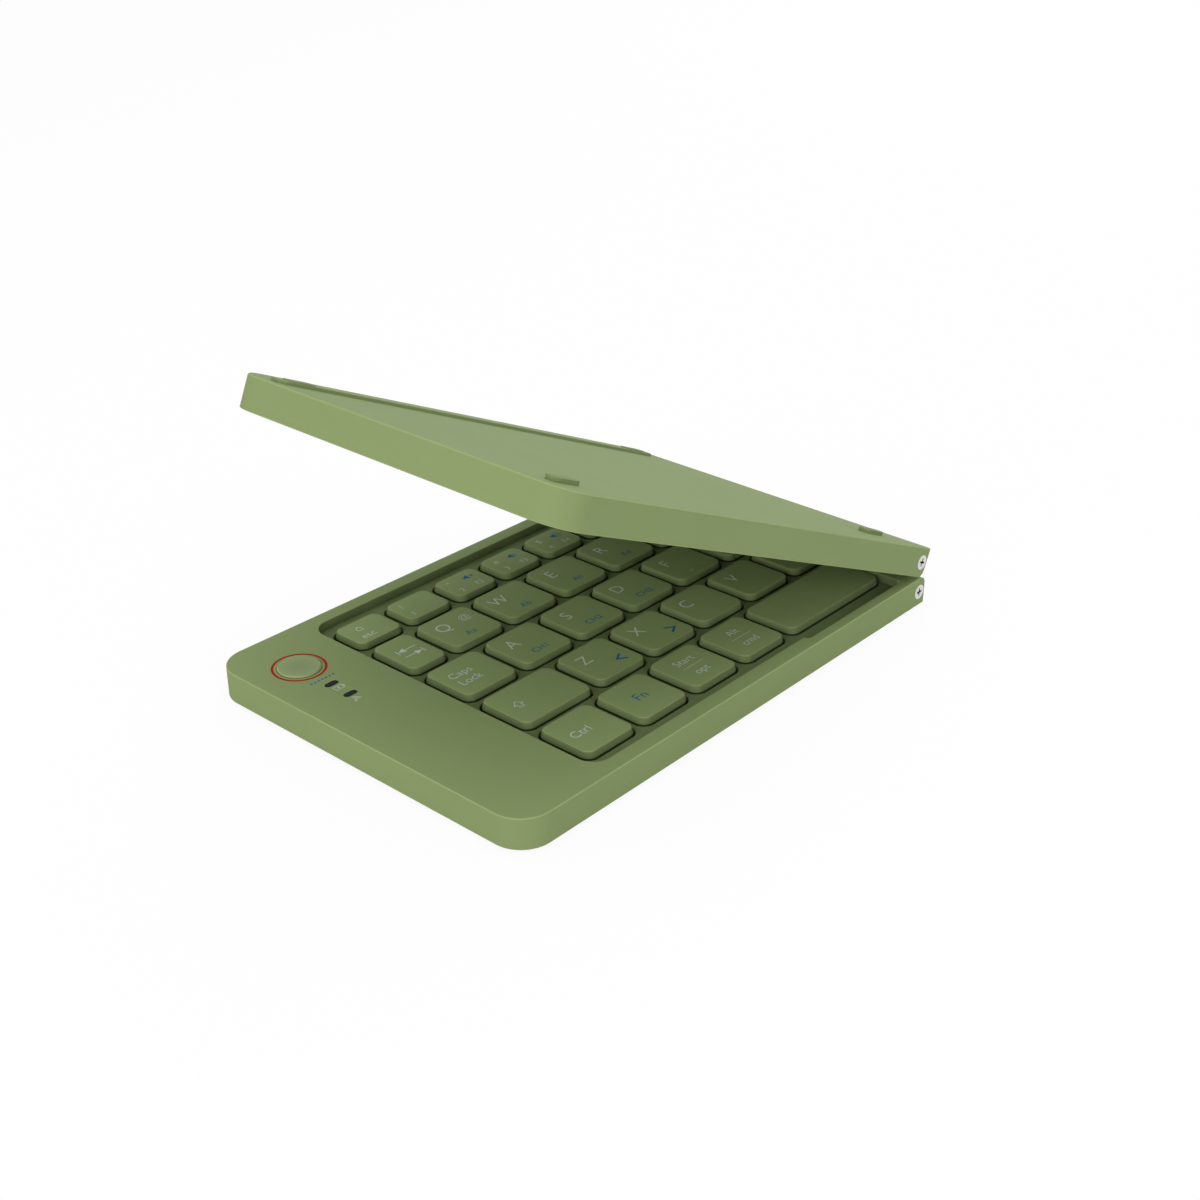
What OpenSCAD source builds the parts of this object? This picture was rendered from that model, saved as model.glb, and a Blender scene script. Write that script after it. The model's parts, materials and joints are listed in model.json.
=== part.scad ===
// Folding keyboard: two slim halves, closed like a book over their keys and
// joined along one side by a link that turns on two hinge axes.
//
// Frame of each half, before it is placed: x runs from the free end to the
// hinge end, y from the space bar to the number row, and z from the outer face
// up to the side with the keys. The lid is the same half with its keys facing
// down, so it is mirrored in z and then turned about its own hinge axis.

/* [Keys] */
// Distance between neighbouring letter keys in a row
key_pitch = 18; // [17.5:0.1:18.5]
// Distance between neighbouring rows
row_pitch = 17; // [16.8:0.1:17.4]
// Gap between the tops of neighbouring keys in a row
key_gap = 2.9; // [2.7:0.1:3.1]
// Gap between the tops of neighbouring rows
row_gap = 3; // [2.8:0.1:3.2]
// Depth of the number row's key tops
number_key_d = 9.8; // [9.6:0.1:10.6]
// Height of a key cap
cap_h = 2.1; // [2:0.05:2.3]
// Thickness of a key cap's top
cap_top_t = 0.8; // [0.7:0.05:0.9]
// Thickness of a key cap's sides, at their foot
cap_side_t = 0.8; // [0.6:0.05:0.9]
// How far a key cap's sides lean out from top to foot
cap_lean = 0.45; // [0.3:0.05:0.6]
// Corner radius of a key cap's top
cap_corner_r = 2; // [1.5:0.1:2.4]
// Size of the soft edge round a key cap's top
cap_edge_r = 0.3; // [0.2:0.05:0.4]
// How far a key goes down
key_travel = 1.3; // [1.1:0.05:1.4]
// How far the key tops lie below the rim of the well
key_drop = 0.5; // [0.4:0.05:0.7]

/* [Body] */
// Thickness of one half
half_t = 7.4; // [7.2:0.1:8.4]
// Plan radius of the two corners at the free end
corner_r = 7.5; // [5:0.5:9]
// Radius of the soft edge round the key side
edge_r = 0.3; // [0.2:0.05:0.6]
// Radius of the soft edge round the outer face
outer_edge_r = 0.45; // [0.2:0.05:0.6]
// Thickness of the outer walls
wall_t = 1.6; // [1.2:0.1:2]
// Thickness of the frame's top
top_t = 1.2; // [1:0.1:1.4]
// Thickness of the bottom cover
cover_t = 1.2; // [1:0.1:1.4]
// Width of the strip with the button, beside the base's keys
strip_w = 24.6; // [23:0.2:28]
// Width of the rim in front of and behind the well
rim_w = 3.8; // [3.4:0.1:5]
// Width of the strip between the well and the hinge end
end_strip_w = 6.5; // [6.3:0.1:8]
// Corner radius of the well
well_r = 4.5; // [3:0.5:6]
// Space between the keys and the free end's side of the well
well_gap_x = 3.2; // [2.5:0.1:4]
// Space between the keys and the hinge's side of the well
well_gap_end = 0.6; // [0.5:0.1:1]
// Space between the keys and the front of the well
well_gap_front = 4.5; // [4:0.1:5]
// Space between the keys and the back of the well
well_gap_back = 4.1; // [3.6:0.1:5]
// Length of the deeper stretch of the well, in front of the space bar
bay_l = 38.2; // [36:0.2:44]
// How far that stretch runs out into the front rim
bay_d = 1.3; // [1:0.1:1.5]
// Depth of the well, from the rim down to the web between the keys
web_drop = 2.1; // [1.8:0.1:2.2]
// Thickness of that web
web_t = 0.9; // [0.7:0.1:1]
// Gap between the foot of a key and its opening in the web
key_hole_gap = 0.4; // [0.25:0.05:0.5]

/* [Hinge] */
// Angle that the lid stands open in the modelled pose
open_angle = 24.3; // [0:0.1:60]
// Distance from a hinge axis to the end face of its half
axis_in = 2.1; // [2.1:0.05:2.4]
// Gap between the two halves when they are closed
closed_gap = 0.5; // [0.4:0.05:1]
// Radius of the link's rounded edges
link_r = 1.9; // [1.6:0.05:1.9]
// Gap between the link and the notch that it turns in
link_gap = 0.3; // [0.2:0.05:0.4]
// Thickness of the cheeks that carry the link
cheek_t = 4; // [3.5:0.1:5]
// Radius of the rounded inner edge of the hinge end
hinge_edge_r = 2; // [1.8:0.1:2.4]
// Radius of a pivot screw's head
screw_head_r = 1.85; // [1.6:0.05:1.85]
// Height of a pivot screw's head
screw_head_h = 0.9; // [0.7:0.1:1.2]
// Radius of a pivot screw's shank
screw_r = 0.9; // [0.8:0.05:1]
// How far a pivot screw reaches into the link
screw_reach = 5; // [4:0.5:7]
// Radial running clearance of a pivot screw in the link
pivot_clearance = 0.05; // [0.02:0.01:0.08]
// Width of the ribbon cable that crosses the hinge
ribbon_w = 12; // [8:1:16]
// Thickness of the ribbon cable
ribbon_t = 0.3; // [0.2:0.05:0.4]

/* [Button and windows] */
// Distance from the free end to the button and the windows
button_x = 11.5; // [10.5:0.1:12.5]
// Distance from the front to the button
button_y = 78.3; // [77.5:0.1:79]
// Radius of the button's visible cap
button_r = 4.9; // [4.5:0.1:5]
// How far the button stands out
button_proud = 0.4; // [0.2:0.05:0.45]
// How far the button goes in
button_travel = 0.4; // [0.3:0.05:0.5]
// Depth of the hollow in the button's top
button_dish = 0.35; // [0.2:0.05:0.4]
// Outer radius of the coloured ring round the button
ring_r = 6.15; // [6:0.05:6.4]
// Width of that ring
ring_w = 0.6; // [0.4:0.05:0.6]
// Depth of that ring
ring_t = 0.6; // [0.4:0.05:0.8]
// Length of a status window
window_l = 3.5; // [3:0.1:4]
// Width of a status window
window_w = 1.3; // [1:0.1:1.6]
// Distance from the front to the nearer status window
window_y = 61.5; // [60:0.1:62]
// Distance between the two status windows
window_pitch = 6.1; // [5:0.1:6.4]

/* [Inside] */
// Thickness of the steel plate under the keys
plate_t = 0.6; // [0.5:0.05:0.7]
// Thickness of the rubber mat on that plate
mat_t = 0.4; // [0.3:0.05:0.4]
// Base radius of a rubber dome
dome_r = 2.15; // [2:0.05:2.2]
// Width of a scissor lever's bars
scissor_bar = 0.9; // [0.7:0.05:0.9]
// Largest length of a scissor frame
scissor_l = 12.6; // [11:0.1:13]
// Largest depth of a scissor frame
scissor_d = 10.6; // [9:0.1:11.5]
// Length of the battery, along the strip
battery_l = 46; // [36:1:48]
// Width of the battery
battery_w = 18; // [14:0.5:19]
// Thickness of the battery
battery_t = 3.6; // [2.5:0.1:4.4]
// Length of the circuit board, along the strip
board_l = 34; // [32:0.5:35]
// Width of the circuit board
board_w = 19; // [17:0.5:20]
// Thickness of the circuit board
board_t = 0.8; // [0.6:0.1:1]
// Width of the charging socket
socket_w = 7.6; // [7.4:0.1:8]
// Height of the charging socket
socket_h = 2.7; // [2.5:0.1:2.9]
// Depth of the charging socket
socket_d = 5.6; // [5:0.1:6]

/* [Feet] */
// Height of all the feet under the outer face
foot_h = 0.9; // [0.7:0.05:1.4]
// Height of the rubber pads on the foot bar
pad_h = 0.2; // [0.15:0.05:0.4]
// Width of the foot bar along the back edge
bar_w = 5; // [4:0.5:7]
// Corner radius of the foot bar
bar_r = 1.9; // [0.5:0.1:1.9]
// Distance from the back edge to the foot bar
bar_in = 7.4; // [4:0.2:9]
// Distance from the free end to the start of the foot bar
bar_start = 3; // [3:0.5:12]
// Distance from the hinge end to the end of the foot bar
bar_end_in = 6.5; // [2:0.5:12]
// Length of a rubber pad on the foot bar
pad_l = 8.2; // [6:0.2:14]
// Distance from an end of the foot bar to its pad
pad_in = 2.4; // [2:0.2:12]
// Length of a front foot
front_foot_l = 8; // [6:0.2:12]
// Width of a front foot
front_foot_w = 3.6; // [2.5:0.1:5]
// Distance from the front edge to the middle of a front foot
front_foot_y = 9; // [4:0.5:14]
// Distance from the free end to the first front foot
front_foot_x = 8.5; // [8:0.5:25]
// Distance from the hinge end to the second front foot
front_foot_end = 14.5; // [8:0.5:25]

/* [Hidden] */
BASE_KEYS = [
    "key_esc", "key_1", "key_2", "key_3", "key_4", "key_5", "key_6",
    "key_tab", "key_q", "key_w", "key_e", "key_r", "key_t",
    "key_caps_lock", "key_a", "key_s", "key_d", "key_f", "key_g",
    "key_left_shift", "key_z", "key_x", "key_c", "key_v", "key_b",
    "key_ctrl", "key_fn", "key_option", "key_alt", "key_left_space"];
LID_ROWS = ["lid_keys_numbers", "lid_keys_upper", "lid_keys_home", "lid_keys_lower", "lid_keys_bottom"];

$fn = 64;
// Facets of the small rounded corners of a key
key_fn = 24;
// Overlap used where one solid is cut by another
cut = 1;
// Clearance of a piece that moves in a hole
slide_gap = 0.1;

// Colours
green = [0.50, 0.56, 0.37];
dark_green = [0.42, 0.47, 0.30];
black = [0.07, 0.08, 0.07];
steel = [0.72, 0.73, 0.75];

// Number of letter keys in a row of each half
base_columns = 6;
lid_columns = 7;
// Number of keys of the number row that share the base's row length
number_columns = 7;
key_d = row_pitch - row_gap;

// Lengths of the key fields, from the first key to the end of the last gap
base_field = base_columns * key_pitch;
lid_field = lid_columns * key_pitch;
number_pitch = base_field / number_columns;

// Pitches of the keys in each row of the base, from the free end, back row
// first: the last key of a row takes what is left of the field
tab_pitch = key_pitch * 0.73;
shift_pitch = key_pitch * 1.295;
lower_pitch = key_pitch * 0.987;
bottom_pitch = key_pitch * 0.967;
BASE_PITCHES = [
    [for (i = [1:6]) number_pitch],
    concat([tab_pitch], [for (i = [1:4]) key_pitch]),
    [for (i = [1:5]) key_pitch],
    concat([shift_pitch], [for (i = [1:4]) lower_pitch]),
    [for (i = [1:4]) bottom_pitch]];
// The same for the lid, from the hinge end
LID_PITCHES = [
    [for (i = [1:6]) number_pitch],
    [for (i = [1:6]) key_pitch],
    [for (i = [1:6]) key_pitch],
    [for (i = [1:6]) key_pitch],
    concat([2 * key_pitch], [for (i = [1:4]) key_pitch])];

// Plan of a half
well_end = strip_w + well_gap_x + base_field - key_gap + well_gap_end;
half_l = well_end + end_strip_w;
keys_front = rim_w + well_gap_front;
keys_depth = 4 * row_pitch + number_key_d;
half_d = keys_front + keys_depth + well_gap_back + rim_w;
keys_end = well_end - well_gap_end;
base_keys_start = keys_end - base_field + key_gap;
lid_keys_start = keys_end - lid_field + key_gap;
base_well_start = base_keys_start - well_gap_x;
lid_well_start = lid_keys_start - well_gap_x;

// Heights in a half
cap_top_z = half_t - key_drop;
cap_foot_z = cap_top_z - cap_h;
mat_top = cap_foot_z - key_travel - slide_gap;
plate_top = mat_top - mat_t;
plate_foot = plate_top - plate_t;
rib_h = plate_foot - cover_t;
web_top = half_t - web_drop;
web_foot = web_top - web_t;
// Height under a pressed cap's ceiling, for the levers and the dome
inner_h = cap_h + slide_gap - cap_top_t - 1.5 * slide_gap;

// Hinge
axis_x = half_l - axis_in;
axis_z = half_t / 2;
link_pitch = half_t + closed_gap;
notch_x = axis_x - link_r - link_gap;
link_y = cheek_t + link_gap;

// Strip with the electronics
strip_end = strip_w - 1.2;
board_x = (wall_t + strip_end - board_w) / 2;
board_gap = 0.3;
board_y = half_d - wall_t - board_gap - board_l;
board_z = cover_t + 1.2;
board_top = board_z + board_t;
switch_h = 1.5;
switch_w = 4;
flange_t = 0.6;
flange_top = half_t - top_t - slide_gap / 2;
stem_foot = board_top + switch_h + button_travel + slide_gap / 2;
socket_gap = 0.3;
battery_x = (wall_t + strip_end - battery_w) / 2;
battery_y = 6;

// The part's origin: the middle of its length and depth, where it stands
lid_reach = axis_x + axis_in * cos(open_angle) + half_t / 2 * sin(open_angle);
origin_x = max(half_l, lid_reach) / 2;

// ---------- placing ----------

module on_base() {
    translate([-origin_x, -half_d / 2, foot_h]) children();
}

// A link piece is drawn about the base's hinge axis, upright
module on_link() {
    on_base() translate([axis_x, 0, axis_z]) children();
}

module on_lid() {
    on_link()
        translate([0, 0, link_pitch])
            rotate([0, open_angle, 0])
                translate([-axis_x, 0, axis_z])
                    mirror([0, 0, 1]) children();
}

// ---------- plan outlines ----------

// Plan of a half, drawn in by an inset on the free end and the long sides
module plan(inset = 0, length = half_l) {
    r = corner_r - inset;
    union() {
        translate([corner_r, inset]) square([length - corner_r, half_d - 2 * inset]);
        translate([inset, corner_r]) square([length - inset, half_d - 2 * corner_r]);
        for (y = [corner_r, half_d - corner_r])
            translate([corner_r, y]) circle(r = r);
    }
}

module rounded_rect(x0, y0, x1, y1, r) {
    union() {
        translate([x0 + r, y0]) square([x1 - x0 - 2 * r, y1 - y0]);
        translate([x0, y0 + r]) square([x1 - x0, y1 - y0 - 2 * r]);
        for (x = [x0 + r, x1 - r], y = [y0 + r, y1 - r])
            translate([x, y]) circle(r = r);
    }
}

// The well that the keys lie in: round corners at the free end, square ones
// at the hinge end, and a bay that runs out in front of the space bar
module well_plan(start) {
    rounded_rect(start, rim_w, well_end, half_d - rim_w, well_r);
    translate([well_end - 2 * well_r, rim_w])
        square([2 * well_r, half_d - 2 * rim_w]);
    translate([well_end - bay_l + bay_d, rim_w - bay_d])
        square([bay_l - bay_d, 2 * bay_d]);
    translate([well_end - bay_l + bay_d, rim_w])
        circle(r = bay_d);
}

module pill(length, width) {
    translate([width / 2 - length / 2, -width / 2]) square([length - width, width]);
    for (side = [-1, 1])
        translate([side * (length - width) / 2, 0]) circle(d = width);
}

// ---------- housings ----------

// Section through a side of a half: x runs inwards from the outer face and y up,
// with a soft edge at the foot and another at the top
module side_section() {
    union() {
        translate([0, outer_edge_r]) square([corner_r, half_t - edge_r - outer_edge_r]);
        translate([outer_edge_r, 0]) square([corner_r - outer_edge_r, 2 * outer_edge_r]);
        translate([edge_r, half_t - 2 * edge_r]) square([corner_r - edge_r, 2 * edge_r]);
        translate([outer_edge_r, outer_edge_r]) circle(r = outer_edge_r);
        translate([edge_r, half_t - edge_r]) circle(r = edge_r);
    }
}

// The outer form of a half: soft edges round both faces, and a rounded inner
// edge at the hinge end
module half_form() {
    span = half_d - 2 * corner_r;
    intersection() {
        union() {
            translate([corner_r, corner_r, 0]) cube([half_l - corner_r, span, half_t]);
            for (back = [0, 1]) translate([0, back * half_d, 0]) mirror([0, back, 0]) {
                translate([corner_r, 0, 0]) rotate([90, 0, 90])
                    linear_extrude(half_l - corner_r) side_section();
                translate([corner_r, corner_r, 0]) rotate([0, 0, 180])
                    rotate_extrude(angle = 90) translate([corner_r, 0]) mirror([1, 0]) side_section();
            }
            translate([0, half_d - corner_r, 0]) rotate([90, 0, 0])
                linear_extrude(span) side_section();
        }
        translate([0, half_d + cut, 0]) rotate([90, 0, 0])
            linear_extrude(half_d + 2 * cut) union() {
                translate([-cut, -cut]) square([half_l + cut, half_t - hinge_edge_r + cut]);
                translate([-cut, 0]) square([half_l - hinge_edge_r + cut, half_t + cut]);
                translate([half_l - hinge_edge_r, half_t - hinge_edge_r])
                    circle(r = hinge_edge_r);
            }
    }
}

// A hole or a solid along the hinge axis, from one cheek's outer face inwards
module at_pivots() {
    for (back = [0, 1])
        translate([axis_x, back * half_d, axis_z])
            mirror([0, back, 0]) rotate([-90, 0, 0]) children();
}

// The frame: the outer walls, the rim round the well, the web with an opening
// for each key, and the hinge cheeks
module frame(start, places) {
    difference() {
        intersection() {
            half_form();
            translate([-cut, -cut, cover_t])
                cube([half_l + 2 * cut, half_d + 2 * cut, half_t]);
        }
        // space for the plate, its mat and the ribs of the cover
        translate([0, 0, cover_t - cut])
            linear_extrude(mat_top - cover_t + cut)
                plan(wall_t, notch_x - 1.2);
        // the well, down to the web, and the space below the web
        translate([0, 0, web_top])
            linear_extrude(web_drop + cut) well_plan(start);
        translate([0, 0, mat_top - cut])
            linear_extrude(web_foot - mat_top + cut) well_plan(start);
        translate([0, 0, web_foot - slide_gap])
            linear_extrude(web_t + 2 * slide_gap) for (place = places) key_hole(place);
        // the notch that the link turns in
        translate([notch_x, cheek_t, cover_t - cut])
            cube([half_l, half_d - 2 * cheek_t, half_t + 2 * cut]);
        at_pivots() {
            translate([0, 0, -cut]) cylinder(r = screw_r, h = cheek_t + 2 * cut);
            translate([0, 0, -cut])
                cylinder(r = screw_head_r + slide_gap / 2, h = screw_head_h + cut);
        }
    }
}

// A key's opening in the web, no wider than the well
module key_hole(place) {
    gap = cap_lean + key_hole_gap;
    rounded_rect(place[0] - gap, place[1] - gap,
        min(place[0] + place[2] + gap, well_end), place[1] + place[3] + gap, cap_corner_r + gap);
}

// The cover: the outer face, with ribs that carry the key plate
module cover(start) {
    rib_w = 1.6;
    ribs = 5;
    rib_x = start + rib_w;
    intersection() {
        half_form();
        translate([-cut, -cut, -cut])
            cube([half_l + 2 * cut, half_d + 2 * cut, cover_t + cut]);
    }
    for (i = [0:ribs - 1])
        translate([rib_x, keys_front + i * (keys_depth - rib_w) / (ribs - 1), cover_t])
            cube([well_end - rib_w - rib_x, rib_w, rib_h]);
}

module key_plate(start) {
    under = 1;
    translate([start - under, rim_w - under, plate_foot])
        cube([well_end - start + under, half_d - 2 * rim_w + 2 * under, plate_t]);
}

// ---------- keys ----------

// Start of each key in a row, from the row's own first key
function key_starts(pitches) =
    [for (i = 0, s = 0; i <= len(pitches); s = s + (i < len(pitches) ? pitches[i] : 0), i = i + 1) s];
function key_widths(pitches, field) =
    let (starts = key_starts(pitches))
    [for (i = [0:len(pitches)])
        (i < len(pitches) ? pitches[i] : field - starts[i]) - key_gap];
function row_y(row) = keys_front + (4 - row) * row_pitch;
function row_depth(row) = row == 0 ? number_key_d : key_d;

// Each key as [x, y, width, depth] of its top
BASE_PLACES = [for (row = [0:4])
    let (starts = key_starts(BASE_PITCHES[row]), widths = key_widths(BASE_PITCHES[row], base_field))
    for (i = [0:len(starts) - 1])
        [base_keys_start + starts[i], row_y(row), widths[i], row_depth(row)]];
LID_PLACES = [for (row = [0:4])
    let (starts = key_starts(LID_PITCHES[row]), widths = key_widths(LID_PITCHES[row], lid_field))
    [for (i = [0:len(starts) - 1])
        [keys_end - starts[i] - widths[i], row_y(row), widths[i], row_depth(row)]]];
LID_KEYS = [for (row = LID_PLACES) for (place = row) place];

// One corner of a cap's outside, turned: a side that leans out, and a soft edge
module cap_corner() {
    // how far the middle of the soft edge lies in from both of its faces
    edge_mid = cap_edge_r * (1 - cos(45));
    rotate_extrude($fn = key_fn) polygon([
        [0, 0], [cap_corner_r + cap_lean, 0], [cap_corner_r, cap_h - cap_edge_r],
        [cap_corner_r - edge_mid, cap_h - edge_mid], [cap_corner_r - cap_edge_r, cap_h], [0, cap_h]]);
}

// One cap: a flat top with a soft edge, sides that lean out a little, a hollow
// below, and the plunger that presses the dome
module cap(place) {
    w = place[2];
    d = place[3];
    plunger_r = 1.2;
    plunger_foot = mat_top + key_travel + slide_gap;
    pocket_h = cap_h - cap_top_t;
    side = cap_side_t - cap_lean;
    translate([place[0], place[1], 0]) {
        difference() {
            hull() for (x = [cap_corner_r, w - cap_corner_r], y = [cap_corner_r, d - cap_corner_r])
                translate([x, y, cap_foot_z]) cap_corner();
            translate([0, 0, cap_foot_z - cut]) linear_extrude(pocket_h + cut)
                rounded_rect(side, side, w - side, d - side, cap_corner_r - side);
        }
        translate([w / 2, d / 2, plunger_foot])
            cylinder(r = plunger_r, h = cap_foot_z + pocket_h - plunger_foot, $fn = 32);
    }
}

// The two nested levers under a key, folded flat and joined at their pivots
module scissor(place) {
    // the levers' corners clear the cap's round pocket
    corner_in = 0.6;
    inset = cap_side_t - cap_lean + corner_in;
    l = min(scissor_l, place[2] - 2 * inset);
    d = min(scissor_d, place[3] - 2 * inset);
    play = 0.25;
    inner_l = l - 2 * (scissor_bar + play);
    inner_d = d - 2 * (scissor_bar + play);
    inner_bar = 0.75 * scissor_bar;
    translate([place[0] + place[2] / 2, place[1] + place[3] / 2, mat_top])
        linear_extrude(inner_h) union() {
            difference() {
                square([l, d], center = true);
                square([l - 2 * scissor_bar, d - 2 * scissor_bar], center = true);
            }
            difference() {
                square([inner_l, inner_d], center = true);
                square([inner_l - 2 * inner_bar, inner_d - 2 * inner_bar], center = true);
            }
            for (side = [-1, 1])
                translate([side * (l / 2 - scissor_bar - play / 2), 0])
                    square([3 * play, 2 * play], center = true);
        }
}

// The rubber mat: one sheet with a dome under every key
module dome_mat(start, places) {
    under = 1;
    hole_r = 1.35;
    translate([start - under, rim_w - under, plate_top])
        cube([well_end - start + under, half_d - 2 * rim_w + 2 * under, mat_t]);
    for (place = places)
        translate([place[0] + place[2] / 2, place[1] + place[3] / 2, mat_top])
            rotate_extrude($fn = 32)
                polygon([[hole_r, -mat_t / 2], [dome_r, -mat_t / 2], [dome_r, 0],
                         [dome_r - 0.3, inner_h], [hole_r, inner_h]]);
}

// ---------- feet ----------

module foot_bar() {
    back = half_d - bar_in;
    translate([0, 0, pad_h - foot_h])
        linear_extrude(foot_h - pad_h)
            rounded_rect(bar_start, back - bar_w, half_l - bar_end_in, back, bar_r);
}

module feet() {
    pad_w = bar_w - 1.8;
    for (x = [bar_start + pad_in, half_l - bar_end_in - pad_in - pad_l])
        translate([x + pad_l / 2, half_d - bar_in - bar_w / 2, -foot_h])
            linear_extrude(pad_h) pill(pad_l, pad_w);
    for (x = [front_foot_x, half_l - front_foot_end])
        translate([x, front_foot_y, -foot_h])
            linear_extrude(foot_h) pill(front_foot_l, front_foot_w);
}

// ---------- hinge ----------

// The link stands on the base's axis and carries the lid's axis
module link_body() {
    slot = ribbon_t + slide_gap;
    bore_h = screw_reach + 0.5 - link_gap;
    difference() {
        translate([0, half_d - link_y, 0]) rotate([90, 0, 0])
            linear_extrude(half_d - 2 * link_y) union() {
                translate([-link_r, 0]) square([2 * link_r, link_pitch]);
                for (z = [0, link_pitch]) translate([0, z]) circle(r = link_r);
            }
        for (z = [0, link_pitch], back = [0, 1])
            translate([0, back * half_d, z]) mirror([0, back, 0])
                rotate([-90, 0, 0]) translate([0, 0, link_y - cut])
                    cylinder(r = screw_r + pivot_clearance, h = bore_h + cut);
        translate([-slot / 2, half_d / 2 - ribbon_w / 2 - slide_gap, -link_r - cut])
            cube([slot, ribbon_w + 2 * slide_gap, link_pitch + 2 * link_r + 2 * cut]);
    }
}

module pivot_screws() {
    slot_w = 0.5;
    slot_l = 2;
    slot_d = 0.5;
    at_pivots() difference() {
        union() {
            cylinder(r = screw_head_r, h = screw_head_h);
            cylinder(r = screw_r, h = cheek_t + screw_reach);
        }
        for (turn = [0, 90])
            rotate([0, 0, turn])
                translate([-slot_l / 2, -slot_w / 2, -cut]) cube([slot_l, slot_w, slot_d + cut]);
    }
}

// ---------- base ----------

module base_cover() {
    post_r = 1.5;
    post_in = 3;
    color(green) on_base() {
        cover(base_well_start);
        for (x = [board_x + post_in, board_x + board_w - post_in],
             y = [board_y + post_in, board_y + board_l - post_in])
            translate([x, y, cover_t]) cylinder(r = post_r, h = board_z - cover_t);
    }
}

module base_frame() {
    color(green) on_base() difference() {
        frame(base_well_start, BASE_PLACES);
        // space for the battery and the circuit board
        translate([0, 0, cover_t - cut])
            linear_extrude(half_t - top_t - cover_t + cut)
                plan(wall_t, strip_end);
        translate([button_x, button_y, half_t - top_t - cut])
            cylinder(r = button_r + slide_gap, h = top_t + 2 * cut);
        translate([button_x, button_y, half_t - ring_t])
            rotate_extrude() translate([ring_r - ring_w, 0]) square([ring_w, ring_t + cut]);
        for (i = [0, 1])
            translate([button_x, window_y + i * window_pitch, half_t - top_t - cut])
                linear_extrude(top_t + 2 * cut) pill(window_l, window_w);
        translate([button_x - socket_w / 2 - socket_gap, half_d - wall_t - cut, board_top - socket_gap])
            cube([socket_w + 2 * socket_gap, wall_t + 2 * cut, socket_h + 2 * socket_gap]);
    }
}

module base_key_plate() {
    color(steel) on_base() key_plate(base_well_start);
}

module base_dome_mat() {
    color(black) on_base() dome_mat(base_well_start, BASE_PLACES);
}

module base_scissors() {
    color([0.75, 0.75, 0.72]) on_base() for (place = BASE_PLACES) scissor(place);
}

module base_key(name) {
    index = search([name], BASE_KEYS)[0];
    color(dark_green) on_base() cap(BASE_PLACES[index]);
}

// The board, whose corners follow the walls of the case, with the switch under
// the button and a light under each window
module circuit_board() {
    light_w = 1.2;
    light_h = 1;
    chip_w = 6;
    chip_h = 0.9;
    color([0.10, 0.32, 0.18]) on_base() {
        intersection() {
            translate([board_x, board_y, board_z]) cube([board_w, board_l, board_t]);
            translate([0, 0, board_z - cut])
                linear_extrude(board_t + 2 * cut) plan(wall_t + board_gap);
        }
        translate([button_x - switch_w / 2, button_y - switch_w / 2, board_top])
            cube([switch_w, switch_w, switch_h]);
        for (i = [0, 1])
            translate([button_x - light_w / 2, window_y + i * window_pitch - light_w / 2, board_top])
                cube([light_w, light_w, light_h]);
        translate([board_x + board_w - chip_w - 1, board_y + 1, board_top])
            cube([chip_w / 2, chip_w / 2, chip_h]);
    }
}

module battery() {
    seam = 1;
    color([0.62, 0.64, 0.66]) on_base() {
        translate([battery_x, battery_y, cover_t]) cube([battery_w, battery_l, battery_t]);
        translate([battery_x + seam, battery_y + battery_l, cover_t])
            cube([battery_w - 2 * seam, seam, battery_t / 2]);
    }
}

module charging_socket() {
    shell_t = 0.3;
    tongue_w = 4.2;
    tongue_t = 0.6;
    mouth_in = 0.4;
    color(steel) on_base() translate([button_x, half_d - mouth_in, board_top]) {
        difference() {
            translate([-socket_w / 2, -socket_d, 0]) cube([socket_w, socket_d, socket_h]);
            translate([shell_t - socket_w / 2, shell_t - socket_d, shell_t])
                cube([socket_w - 2 * shell_t, socket_d, socket_h - 2 * shell_t]);
        }
        translate([-tongue_w / 2, -socket_d, socket_h / 2 - tongue_t / 2])
            cube([tongue_w, socket_d - 2 * shell_t, tongue_t]);
    }
}

// A round cap with a bevelled rim and a hollow top, held by a flange below
module connect_button() {
    bevel = 0.3;
    flange_r = button_r + 0.8;
    stem_r = 1.6;
    top = half_t + button_proud;
    dish_half = button_r - 2 * bevel;
    dish_r = (dish_half * dish_half + button_dish * button_dish) / (2 * button_dish);
    color(green) on_base() translate([button_x, button_y, 0]) difference() {
        rotate_extrude() polygon([
            [0, stem_foot], [stem_r, stem_foot], [stem_r, flange_top - flange_t],
            [flange_r, flange_top - flange_t], [flange_r, flange_top],
            [button_r, flange_top], [button_r, top - bevel], [button_r - bevel, top], [0, top]]);
        translate([0, 0, top + dish_r - button_dish]) sphere(r = dish_r, $fn = 96);
    }
}

module button_ring() {
    color([0.62, 0.16, 0.10]) on_base() translate([button_x, button_y, half_t - ring_t])
        rotate_extrude() translate([ring_r - ring_w, 0]) square([ring_w, ring_t]);
}

// Light pipes that fill the two openings and reach down towards the board
module status_windows() {
    pipe_h = top_t + 1;
    color(black) on_base() for (i = [0, 1])
        translate([button_x, window_y + i * window_pitch, half_t - pipe_h])
            linear_extrude(pipe_h) pill(window_l, window_w);
}

module base_foot_bar() {
    color(green) on_base() foot_bar();
}

module base_feet() {
    color(dark_green) on_base() feet();
}

module base_pivot_screws() {
    color(steel) on_base() pivot_screws();
}

// ---------- hinge ----------

module hinge_link() {
    color(green) on_link() link_body();
}

module ribbon_cable() {
    color([0.55, 0.35, 0.12]) on_link()
        translate([-ribbon_t / 2, half_d / 2 - ribbon_w / 2, -link_r])
            cube([ribbon_t, ribbon_w, link_pitch + 2 * link_r]);
}

// ---------- lid ----------

module lid_cover() {
    color(green) on_lid() cover(lid_well_start);
}

module lid_frame() {
    color(green) on_lid() frame(lid_well_start, LID_KEYS);
}

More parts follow.
